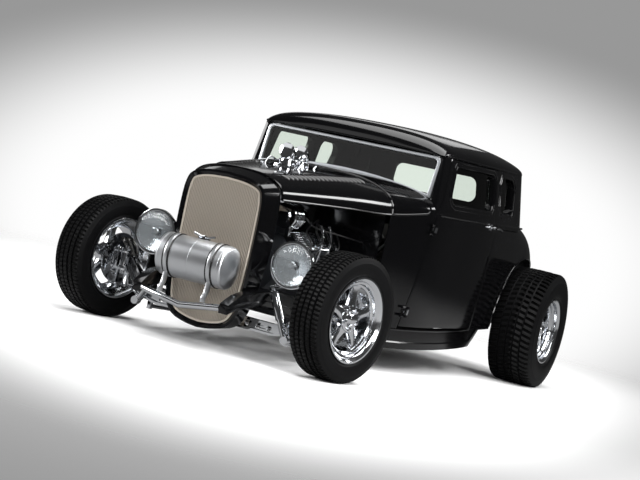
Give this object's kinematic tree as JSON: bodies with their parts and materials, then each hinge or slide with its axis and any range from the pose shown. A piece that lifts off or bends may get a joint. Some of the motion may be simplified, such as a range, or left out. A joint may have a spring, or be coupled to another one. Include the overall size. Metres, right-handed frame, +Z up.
{
  "type": "coupe",
  "caption": "Chopped fenderless black coupe on an open ladder frame, with an exposed V engine, polished spoke wheels, a round front tank and hinged doors and deck lid",
  "frame": {"origin": "on the ground midway between the front and rear ends, on the car's middle plane", "axes": "x to the car's left, y to the rear, z up"},
  "size_m": [1.808, 3.6374, 1.3792],
  "materials": {
    "body_paint": "gloss",
    "frame_paint": "gloss",
    "bright_metal": "polished",
    "wheel_metal": "polished",
    "spun_aluminium": "brushed",
    "dark_metal": "satin",
    "engine_metal": "satin",
    "exhaust_metal": "satin",
    "tyre_rubber": "matte",
    "window_glass": "clear",
    "lamp_glass": "clear",
    "lamp_lens": "gloss",
    "seat_cover": "satin",
    "wheel_grip": "gloss"
  },
  "bodies": {
    "root": {"chassis_frame": "frame_paint", "spreader_bars": "bright_metal", "front_axle": "bright_metal", "front_spring": "dark_metal", "radius_rods": "bright_metal", "shock_absorbers": "bright_metal", "rear_axle": "dark_metal", "rear_suspension": "bright_metal", "drivetrain": "dark_metal", "engine_block": "engine_metal", "engine_dress": "bright_metal", "intake": "bright_metal", "exhaust": "exhaust_metal", "radiator": "dark_metal", "grille_shell": "body_paint", "grille_insert": "bright_metal", "hood_top": "body_paint", "firewall": "body_paint", "cowl": "body_paint", "floor_pan": "frame_paint", "quarter_panels": "body_paint", "upper_body": "body_paint", "tail_panel": "body_paint", "roof": "body_paint", "windshield_frame": "bright_metal", "fixed_glass": "window_glass", "dashboard": "body_paint", "seat": "seat_cover", "steering_column": "bright_metal", "headlamp_shells": "bright_metal", "headlamp_lenses": "lamp_glass", "fuel_tank": "spun_aluminium", "tank_straps": "spun_aluminium", "tail_lamps": "lamp_lens"},
    "knuckle_left": {"knuckle_left": "bright_metal"},
    "knuckle_right": {"knuckle_right": "bright_metal"},
    "tie_rod": {"tie_rod": "bright_metal"},
    "steering_wheel": {"steering_wheel": "wheel_grip"},
    "door_left": {"door_left": "body_paint", "door_glass_left": "window_glass"},
    "door_right": {"door_right": "body_paint", "door_glass_right": "window_glass"},
    "deck_lid": {"deck_lid": "body_paint"},
    "front_left_wheel": {"tyre_front_left": "tyre_rubber", "wheel_front_left": "wheel_metal"},
    "front_right_wheel": {"tyre_front_right": "tyre_rubber", "wheel_front_right": "wheel_metal"},
    "rear_left_wheel": {"tyre_rear_left": "tyre_rubber", "wheel_rear_left": "wheel_metal"},
    "rear_right_wheel": {"tyre_rear_right": "tyre_rubber", "wheel_rear_right": "wheel_metal"}
  },
  "joints": [
    {"name": "steer_left", "type": "hinge", "parent": "root", "child": "knuckle_left", "pos_m": [0.57, -1.42827, 0.306], "axis": [0, 0, 1], "range_deg": [-16.5, 39.5]},
    {"name": "steer_right", "type": "hinge", "parent": "root", "child": "knuckle_right", "pos_m": [-0.57, -1.42827, 0.306], "axis": [0, 0, 1], "range_deg": [-16.5, 39.5]},
    {"name": "tie_rod_end", "type": "hinge", "parent": "knuckle_left", "child": "tie_rod", "pos_m": [0.59592, -1.30088, 0.178], "axis": [0, 0, 1], "range_deg": [-39.5, 16.5]},
    {"name": "steering_wheel_turn", "type": "hinge", "parent": "root", "child": "steering_wheel", "pos_m": [0.3, 0.00827, 0.79842], "axis": [0, 0.9034, 0.4288], "range_deg": [-198, 474]},
    {"name": "front_left_spin", "type": "hinge", "parent": "knuckle_left", "child": "front_left_wheel", "pos_m": [0.67583, -1.4498, 0.306], "axis": [0.9799, -0.1994, 0], "continuous": true},
    {"name": "front_right_spin", "type": "hinge", "parent": "knuckle_right", "child": "front_right_wheel", "pos_m": [-0.67583, -1.40674, 0.306], "axis": [0.9799, -0.1994, 0], "continuous": true},
    {"name": "rear_left_spin", "type": "hinge", "parent": "root", "child": "rear_left_wheel", "pos_m": [0.759, 1.26373, 0.365], "axis": [1, 0, 0], "continuous": true},
    {"name": "rear_right_spin", "type": "hinge", "parent": "root", "child": "rear_right_wheel", "pos_m": [-0.759, 1.26373, 0.365], "axis": [1, 0, 0], "continuous": true},
    {"name": "door_left_hinge", "type": "hinge", "parent": "root", "child": "door_left", "pos_m": [0.56851, -0.38441, 0.34586], "axis": [-0.0871, -0.0836, -0.9927], "range_deg": [0, 62]},
    {"name": "door_right_hinge", "type": "hinge", "parent": "root", "child": "door_right", "pos_m": [-0.56851, -0.38441, 0.34586], "axis": [-0.0871, 0.0836, 0.9927], "range_deg": [0, 62]},
    {"name": "deck_lid_hinge", "type": "hinge", "parent": "root", "child": "deck_lid", "pos_m": [0, 1.15129, 0.98344], "axis": [1, 0, 0], "range_deg": [0, 50]}
  ],
  "couplings": [
    {"joint": "steer_right", "follows": "steer_left", "ratio": 1},
    {"joint": "tie_rod_end", "follows": "steer_left", "ratio": -1},
    {"joint": "steering_wheel_turn", "follows": "steer_left", "ratio": 12}
  ]
}
